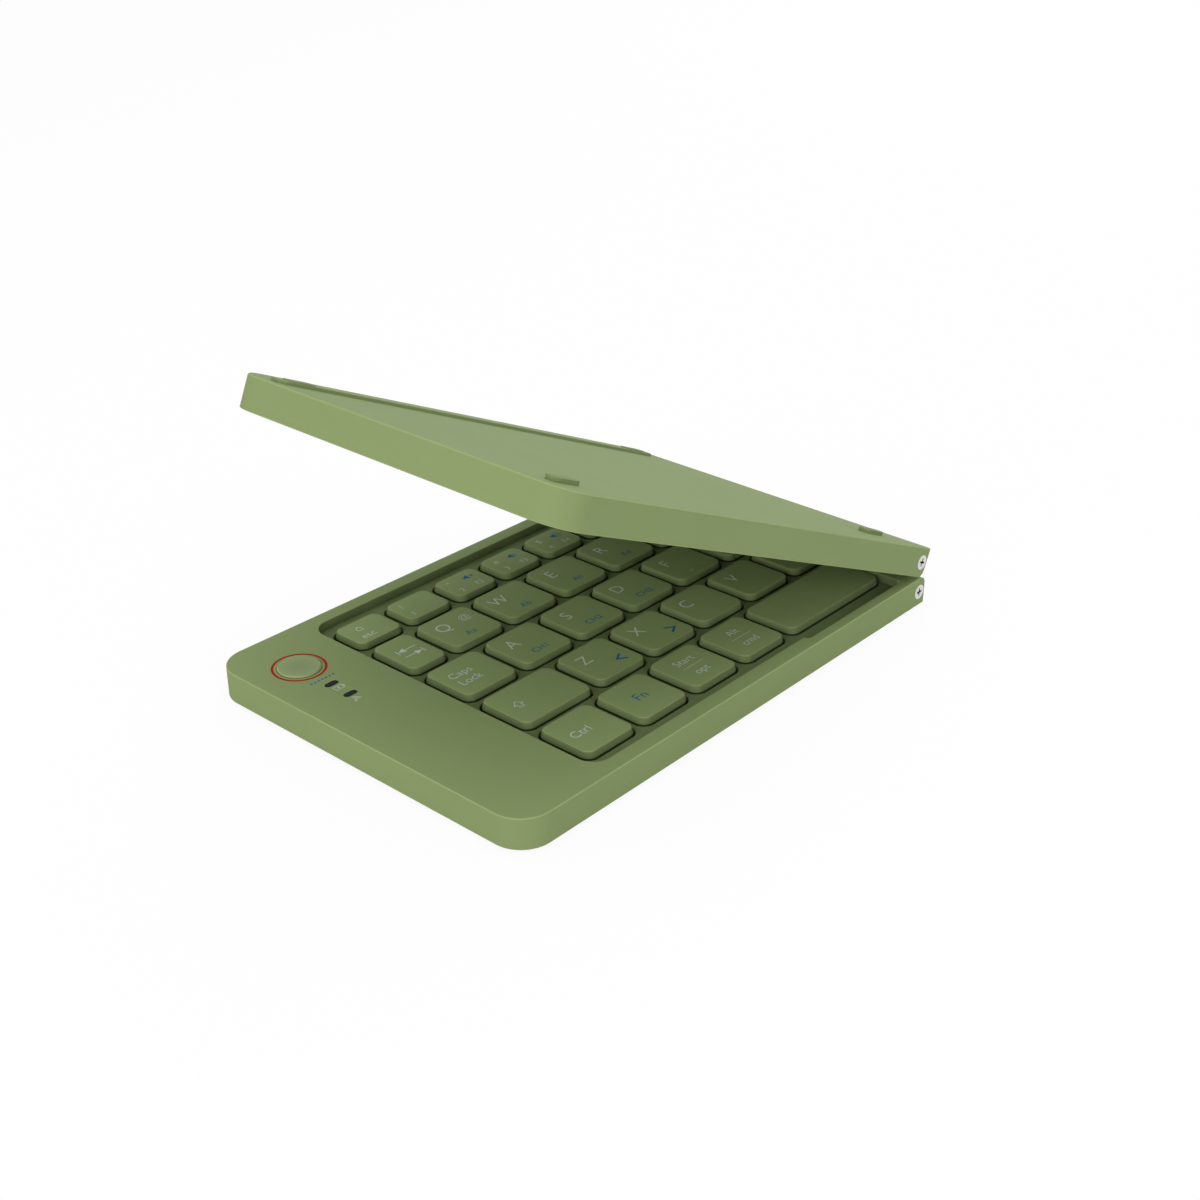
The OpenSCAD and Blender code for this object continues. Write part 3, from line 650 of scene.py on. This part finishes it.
BASE_LEGENDS = {
    "key_esc": [words("esc", -3.7, -3.2, 3.0), house_mark()],
    "key_1": number("1", "!"),
    "key_2": number("2", '"', "F2", speaker(0)),
    "key_3": number("3", "#", "F3", speaker(1)),
    "key_4": number("4", "$", "F4", speaker(2)),
    "key_5": number("5", "%", "F5", skip_mark(180)),
    "key_6": number("6", "&", "F6", skip_mark(0)),
    "key_tab": tab_marks(0.1, -0.2),
    "key_q": letter("Q", "Aa", "@"),
    "key_w": letter("W", "Ab"),
    "key_e": letter("E", "Ac"),
    "key_r": letter("R", "Ad"),
    "key_t": letter("T", width=T_WIDTH),
    "key_caps_lock": [words("Caps", -4.9, 0.6, 3.2), words("Lock", -4.9, -2.9, 3.2)],
    "key_a": letter("A", "CH1"),
    "key_s": letter("S", "CH2"),
    "key_d": letter("D", "CH3"),
    "key_f": letter("F"),
    "key_g": letter("G"),
    "key_left_shift": shift_mark(-5.5, 0.0),
    "key_z": letter("Z", width=LOWER_ROW_WIDTH) + chevron(90),
    "key_x": letter("X", width=LOWER_ROW_WIDTH) + chevron(-90),
    "key_c": letter("C", width=LOWER_ROW_WIDTH),
    "key_v": letter("V", width=LOWER_ROW_WIDTH),
    "key_b": letter("B", width=B_WIDTH),
    "key_ctrl": [words("Ctrl", -4.7, -1.2, 3.4)],
    "key_fn": [words("Fn", -1.9, -1.2, 3.8, BLUE)],
    "key_option": two_words("Start", "opt"),
    "key_alt": two_words("Alt", "cmd"),
}
# Keys of each row of the lid, from the hinge end, which is the typist's left
LID_LEGENDS = {
    "lid_keys_numbers": [number("7", "/"), number("8", "("), number("9", ")"),
                         number("0", "="), number("'", "?"), number("+", "*"), rub_mark()],
    "lid_keys_upper": [letter(c) for c in "YUIOP[]"],
    "lid_keys_home": [letter(c) for c in "HJKL;'"] + [return_mark()],
    "lid_keys_lower": [letter(c) for c in "NM,.-"] + [arrow(90), [words("Del", -3.6, -0.7, 3.6)]],
    "lid_keys_bottom": [[], [words("Alt", -4.2, -0.6, 3.8)], [words("Ctrl", -4.6, -0.6, 3.8)],
                        arrow(180), arrow(-90), arrow(0)],
}
# Pitches of the lid's keys from the hinge end: the last key takes the rest of the row
NUMBER_PITCH = BASE_COLUMNS * KEY_PITCH / NUMBER_KEYS
LID_PITCHES = {
    "lid_keys_numbers": [NUMBER_PITCH] * 6,
    "lid_keys_upper": [KEY_PITCH] * 6,
    "lid_keys_home": [KEY_PITCH] * 6,
    "lid_keys_lower": [KEY_PITCH] * 6,
    "lid_keys_bottom": [2 * KEY_PITCH] + [KEY_PITCH] * 4,
}
# The base's rows lie at the same distance from the front as the lid's
ROW_TWINS = {
    "lid_keys_numbers": "key_esc", "lid_keys_upper": "key_q", "lid_keys_home": "key_a",
    "lid_keys_lower": "key_z", "lid_keys_bottom": "key_ctrl",
}
LID_FIELD = LID_COLUMNS * KEY_PITCH
INK_LIFT = 0.012


def print_marks(name, body, placed):
    """One thin printed mesh. Placed holds pairs of marks and a matrix that takes their
    millimetres to the row frame."""
    bm = bmesh.new()
    for marks, at in placed:
        out = (at.to_3x3() @ Vector((0, 0, 1))).normalized()
        for points, faces, ink in marks:
            verts = [bm.verts.new(at @ Vector((x, y, INK_LIFT))) for x, y in points]
            for corner_list in faces:
                face = bm.faces.new([verts[i] for i in corner_list])
                face.material_index = ink
                face.normal_update()
                if face.normal.dot(out) < 0:
                    face.normal_flip()
    mesh = new_mesh(name, bm)
    for ink in INKS:
        mesh.materials.append(MAT[ink])
    ob = new_object(name, mesh)
    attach(ob, body)


def base_key_at(name):
    """From marks on a key of the base to the row frame."""
    low, high = corners(name)
    middle = (low + high) / 2
    return about(middle.x, middle.y, high.z)


def lid_keys_at(name):
    """From marks on each key of a lid row to the row frame, from the hinge end."""
    low, high = corners(ROW_TWINS[name])
    y = (low.y + high.y) / 2 - LOW.y
    pitches = LID_PITCHES[name]
    pitches = pitches + [LID_FIELD - sum(pitches)]
    starts = [sum(pitches[:i]) for i in range(len(pitches))]
    return [LID_AT @ Matrix.Translation((KEYS_END - start - (pitch - KEY_GAP) / 2, y, CAP_UP))
            @ Matrix.Diagonal((-1, 1, 1, 1)) for start, pitch in zip(starts, pitches)]


for name, marks in BASE_LEGENDS.items():
    print_marks("legend_" + name, name, [(marks, base_key_at(name))])
for name, keys in LID_LEGENDS.items():
    print_marks("legend_" + name, name, list(zip(keys, lid_keys_at(name))))


# ---------- icons beside the status windows and the button ----------
# How far the icons lie in front of the middle of a window or the button
ICON_DOWN = 2.3
DOTS_DOWN = 7.7
BOX_STROKE, TERMINAL_STROKE, BOLT_STROKE = 0.15, 0.22, 0.14
SIGNAL_STROKE = 0.15
SIGNAL_AT = (-1.1, -0.75)
SIGNAL_RADII = (0.65, 1.15, 1.65)
SIGNAL_DOT = 0.25
DOT_PITCH, DOT_RADIUS = 1.0, 0.31
# The surround is round-ended: half its width, and the way from its middle to an end's middle
SURROUND_RADIUS = 0.85
SURROUND_REACH = 0.85


def strip_at(x, y):
    """From marks on the base's strip to the row frame: x from the free end, y from the front."""
    return about(LOW.x + x, LOW.y + y, HIGH.z)


charge_icon = [
    line([(-1.15, -0.7), (1.15, -0.7), (1.15, 0.7), (-1.15, 0.7)], BOX_STROKE, closed=True),
    line([(1.4, -0.3), (1.4, 0.3)], TERMINAL_STROKE),
    line([(0.3, 0.45), (-0.25, -0.02), (0.2, 0.02), (-0.3, -0.45)], BOLT_STROKE),
]
signal_icon = [line(arc(*SIGNAL_AT, r, 5, 85), SIGNAL_STROKE) for r in SIGNAL_RADII]
signal_icon.append(dot(*SIGNAL_AT, SIGNAL_DOT))
seven_dots = [dot(DOT_PITCH * i, 0, DOT_RADIUS, BLUE) for i in range(-3, 4)]
print_marks("window_icons", "base", [
    (signal_icon, strip_at(BUTTON_X, WINDOW_Y - ICON_DOWN)),
    (charge_icon, strip_at(BUTTON_X, WINDOW_Y + WINDOW_PITCH - ICON_DOWN)),
    (seven_dots, strip_at(BUTTON_X, BUTTON_Y - DOTS_DOWN)),
])
# A dark printed surround, which makes each window look wider
surround = [patch(arc(SURROUND_REACH, 0, SURROUND_RADIUS, -90, 90)
                  + arc(-SURROUND_REACH, 0, SURROUND_RADIUS, 90, 270), DARK)]
print_marks("window_surrounds", "base", [
    (surround, strip_at(BUTTON_X, WINDOW_Y + step * WINDOW_PITCH)) for step in (0, 1)])


# ---------- homing bars on two keys, in millimetres ----------
BAR_SIZE = (3.6, 0.55, 0.5)
BAR_ROUND = 0.17
BAR_DOWN = 4.8


def homing_bar(name, body, key_at, material):
    """A low rounded bar, half sunk into a key's top near its front."""
    bm = bmesh.new()
    bmesh.ops.create_cube(bm, size=1.0, matrix=Matrix.Diagonal((*BAR_SIZE, 1)))
    bmesh.ops.bevel(bm, geom=bm.edges[:], offset=BAR_ROUND, segments=3, profile=0.6,
                    affect="EDGES")
    at = key_at @ Matrix.Translation((0, -BAR_DOWN, 0))
    bmesh.ops.transform(bm, matrix=at, verts=bm.verts[:])
    bmesh.ops.recalc_face_normals(bm, faces=bm.faces[:])
    for face in bm.faces:
        face.smooth = True
    mesh = new_mesh(name, bm)
    mesh.materials.append(MAT[material])
    ob = new_object(name, mesh)
    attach(ob, body)


homing_bar("homing_bar_left", "key_f", base_key_at("key_f"), "keys")
homing_bar("homing_bar_right", "lid_keys_home", lid_keys_at("lid_keys_home")[1], "lid_keys")

# ---------- floor ----------
# How far the floor goes each way in metres, and how far it lies below the part in millimetres
FLOOR_REACH = 3.0
FLOOR_DROP = 0.02
FLOOR_GREY = (0.86, 0.86, 0.86, 1)
FLOOR_ROUGHNESS = 0.9
FLOOR_SPECULAR = 0.1
# Share of plain white that the floor shows to the camera and in mirrors: the rest keeps
# the part's shadow
WHITE_SHARE = 0.93
SEEN_BY = ("Is Camera Ray", "Is Glossy Ray", "Is Transmission Ray")

bm = bmesh.new()
bmesh.ops.create_grid(bm, x_segments=1, y_segments=1, size=FLOOR_REACH)
floor = new_object("floor", new_mesh("floor", bm))
floor.location.z = -FLOOR_DROP * MM


def seen(nt):
    """1 for a ray from the camera, off a glossy surface or through a clear one."""
    path = nt.nodes.new("ShaderNodeLightPath")
    value = path.outputs[SEEN_BY[0]]
    for ray in SEEN_BY[1:]:
        value = calculate(nt, "MAXIMUM", value, path.outputs[ray])
    return value


paper, nt, bsdf = new_material("floor_paper")
bsdf.inputs["Base Color"].default_value = FLOOR_GREY
bsdf.inputs["Roughness"].default_value = FLOOR_ROUGHNESS
bsdf.inputs["Specular IOR Level"].default_value = FLOOR_SPECULAR
glow = nt.nodes.new("ShaderNodeEmission")
mix = nt.nodes.new("ShaderNodeMixShader")
nt.links.new(calculate(nt, "MULTIPLY", seen(nt), WHITE_SHARE), mix.inputs[0])
nt.links.new(bsdf.outputs[0], mix.inputs[1])
nt.links.new(glow.outputs[0], mix.inputs[2])
nt.links.new(mix.outputs[0], nt.nodes["Material Output"].inputs[0])
floor.data.materials.append(paper)

# ---------- world: plain white where it is seen, and a soft fill where it lights ----------
WORLD_FILL = 0.56
WORLD_SEEN = 1.0
world = bpy.data.worlds.new("studio")
world.use_nodes = True
nt = world.node_tree
nt.nodes.clear()
out = nt.nodes.new("ShaderNodeOutputWorld")
mix = nt.nodes.new("ShaderNodeMixShader")
nt.links.new(seen(nt), mix.inputs[0])
for socket, strength in ((1, WORLD_FILL), (2, WORLD_SEEN)):
    sky = nt.nodes.new("ShaderNodeBackground")
    sky.inputs["Color"].default_value = (1, 1, 1, 1)
    sky.inputs["Strength"].default_value = strength
    nt.links.new(sky.outputs[0], mix.inputs[socket])
nt.links.new(mix.outputs[0], out.inputs[0])
bpy.context.scene.world = world

# ---------- lamps ----------
# Name, place and size in metres, and power in watts
LAMPS = (
    ("left_box", (-1.0, -0.05, 0.42), (0.9, 0.6), 4.3),
    ("top_box", (-0.15, -0.1, 1.1), (1.1, 1.1), 4.7),
    ("front_box", (-0.1, -1.05, 0.40), (0.9, 0.6), 2.2),
    ("right_box", (0.95, 0.3, 0.55), (0.9, 0.7), 2.6),
)
# All lamps face this point, above the base's middle
LAMP_TARGET = Vector((0.0, 0.0, 0.02))
for name, place, size, power in LAMPS:
    data = bpy.data.lights.new(name, "AREA")
    data.shape = "RECTANGLE"
    data.size, data.size_y = size
    data.energy = power
    lamp = new_object(name, data)
    lamp.location = place
    lamp.rotation_euler = (LAMP_TARGET - Vector(place)).to_track_quat("-Z", "Y").to_euler()

# ---------- camera ----------
SENSOR_WIDTH, LENS = 36.0, 51.81
CLIP_NEAR, CLIP_FAR = 0.01, 10
# Place in metres from the front corner of the base's free end, at its outer face
EYE = Vector((-0.1898, -0.1869, 0.1947))
LOOK = Vector((0.6641, 0.5866, -0.4635))
data = bpy.data.cameras.new("camera")
data.sensor_width = SENSOR_WIDTH
data.lens = LENS
data.clip_start = CLIP_NEAR
data.clip_end = CLIP_FAR
camera = new_object("camera", data)
eye = EYE + Vector((LOW.x, LOW.y, BASE_AXIS.z - AXIS_UP)) * MM
look = LOOK.normalized()
right = look.cross(Vector((0, 0, 1))).normalized()
up = right.cross(look)
camera.matrix_world = Matrix.Translation(eye) @ Matrix((right, up, -look)).transposed().to_4x4()
bpy.context.scene.camera = camera
bpy.context.scene.view_settings.view_transform = "Standard"
